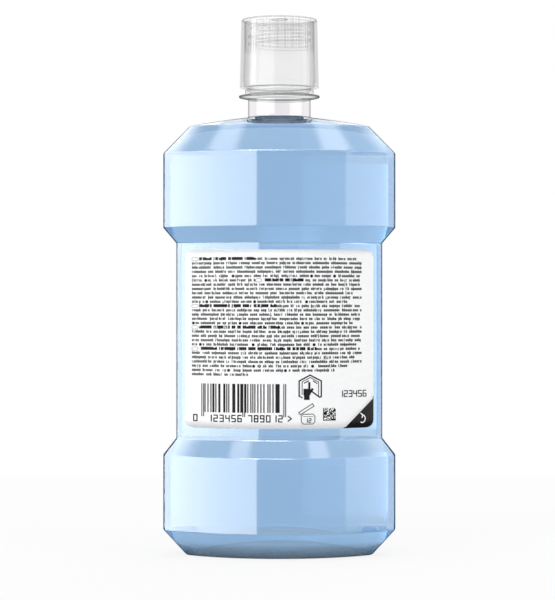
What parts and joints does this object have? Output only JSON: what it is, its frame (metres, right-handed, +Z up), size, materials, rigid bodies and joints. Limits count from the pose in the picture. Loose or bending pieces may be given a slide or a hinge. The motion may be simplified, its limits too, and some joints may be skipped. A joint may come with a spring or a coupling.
{
  "type": "mouthwash bottle",
  "caption": "Clear flat bottle with two wide bulges round a labelled waist, full of liquid, closed by a clear screw cap that doubles as a dosing cup.",
  "frame": {"origin": "on the surface that the bottle stands on, at the centre of the foot, under the neck's axis", "axes": "+Z up along the neck, -Y out of the face with the label, +X to the right when that face is looked at"},
  "size_m": [0.0888, 0.057, 0.205],
  "materials": {
    "clear_pet": "clear gloss",
    "blue_liquid": "clear pale blue liquid",
    "clear_band": "clear gloss",
    "clear_closure": "clear gloss",
    "liner_foam": "soft natural polymer",
    "clear_cup": "clear gloss",
    "label_black": "printed, satin",
    "label_white": "printed, satin"
  },
  "bodies": {
    "container": {"bottle": "clear_pet", "mouthwash": "blue_liquid", "tamper_band": "clear_band", "label_base": "label_black", "label_cover": "label_white"},
    "liner": {"seal_liner": "liner_foam"},
    "cap": {"screw_closure": "clear_closure", "dosing_cup": "clear_cup"}
  },
  "joints": [
    {"name": "cap_rise", "type": "slide", "parent": "container", "child": "liner", "axis": [0, 0, 1], "range_m": [0, 0.0285]},
    {"name": "cap_turn", "type": "hinge", "parent": "liner", "child": "cap", "pos_m": [0, 0, 0.2], "axis": [0, 0, 1], "range_deg": [0, 3600]}
  ],
  "couplings": [
    {"joint": "cap_rise", "follows": "cap_turn", "m_per_rad": 0.00042972}
  ]
}
